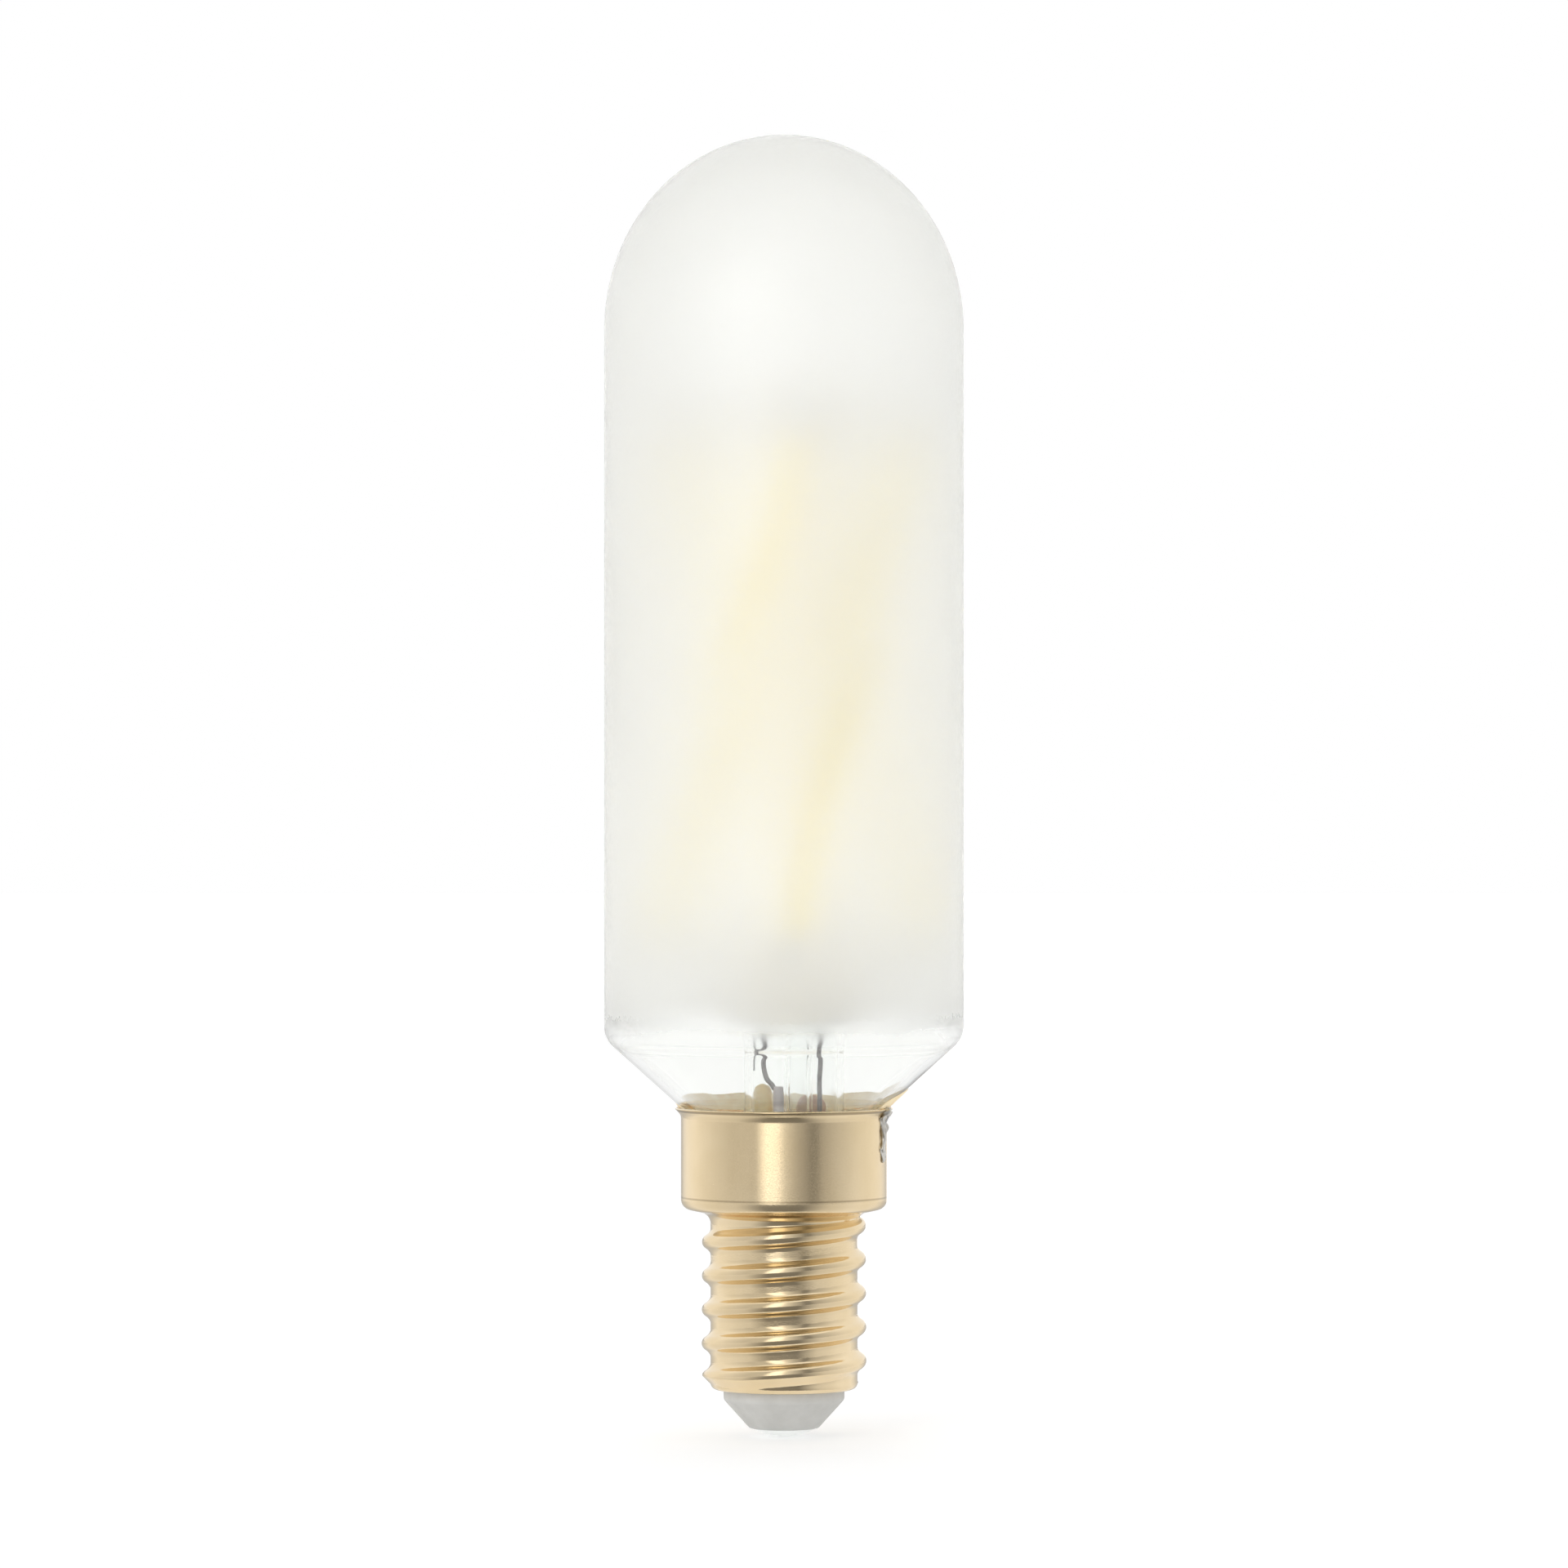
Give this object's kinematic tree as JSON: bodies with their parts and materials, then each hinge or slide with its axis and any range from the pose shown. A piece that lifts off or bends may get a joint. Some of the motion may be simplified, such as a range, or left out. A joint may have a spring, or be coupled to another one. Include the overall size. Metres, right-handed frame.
{
  "type": "tubular screw-cap lamp",
  "caption": "Long frosted glass tube lamp with a domed end, clear shoulder and pressed stem, twisted light filaments and a small brass screw cap.",
  "frame": {"origin": "tip of the centre contact, on the lamp's axis", "axes": "+Z along the lamp's axis from the cap towards the domed end; +X to the right and +Y to the back as the picture shows it"},
  "size_m": [0.03, 0.03, 0.1086],
  "materials": {
    "cap_brass": "satin plated brass",
    "contact_metal": "pale tinned metal",
    "insulator_plastic": "light grey moulded plastic",
    "tinned_wire": "tinned copper",
    "frosted_glass": "frosted inside down to the shoulder, clear below it",
    "cement": "matte tan basing cement",
    "stem_glass": "clear",
    "support_wire": "drawn nickel wire",
    "lead_metal": "dull lead-in wire",
    "sleeve": "soft grey sleeve",
    "board": "white solder mask",
    "choke_coat": "yellow-tan dipped coat",
    "disc_coat": "tan dipped coat",
    "can_metal": "sleeved can",
    "seal_rubber": "matte",
    "resistor_coat": "green flameproof coat",
    "package_plastic": "moulded black",
    "solder": "dull crinkled solder",
    "phosphor": "warm yellow phosphor coat",
    "tab_metal": "bright strip metal"
  },
  "bodies": {
    "root": {"screw_shell": "cap_brass", "centre_contact": "contact_metal", "insulator": "insulator_plastic", "contact_wire": "tinned_wire", "glass_envelope": "frosted_glass", "basing_cement": "cement", "stem_flare": "stem_glass", "exhaust_tube": "stem_glass", "centre_rod": "stem_glass", "lower_support_left": "support_wire", "lower_support_right": "support_wire", "top_support_1": "support_wire", "top_support_2": "support_wire", "lead_wire_left": "lead_metal", "lead_wire_right": "lead_metal", "lead_sleeve_left": "sleeve", "lead_sleeve_right": "sleeve", "circuit_board": "board", "choke": "choke_coat", "choke_leg_left": "tinned_wire", "choke_leg_right": "tinned_wire", "ceramic_capacitor": "disc_coat", "ceramic_capacitor_leg_left": "tinned_wire", "ceramic_capacitor_leg_right": "tinned_wire", "capacitor_can": "can_metal", "capacitor_seal": "seal_rubber", "capacitor_leg_left": "tinned_wire", "capacitor_leg_right": "tinned_wire", "fusible_resistor": "resistor_coat", "resistor_leg_upper": "tinned_wire", "resistor_leg_lower": "tinned_wire", "bridge_rectifier": "package_plastic", "driver_chip": "package_plastic", "side_wire": "tinned_wire", "side_solder": "solder", "filament_1": "phosphor", "filament_1_tab_upper": "tab_metal", "filament_1_tab_lower": "tab_metal", "filament_2": "phosphor", "filament_2_tab_upper": "tab_metal", "filament_2_tab_lower": "tab_metal", "filament_3": "phosphor", "filament_3_tab_upper": "tab_metal", "filament_3_tab_lower": "tab_metal", "filament_4": "phosphor", "filament_4_tab_upper": "tab_metal", "filament_4_tab_lower": "tab_metal"}
  },
  "joints": []
}
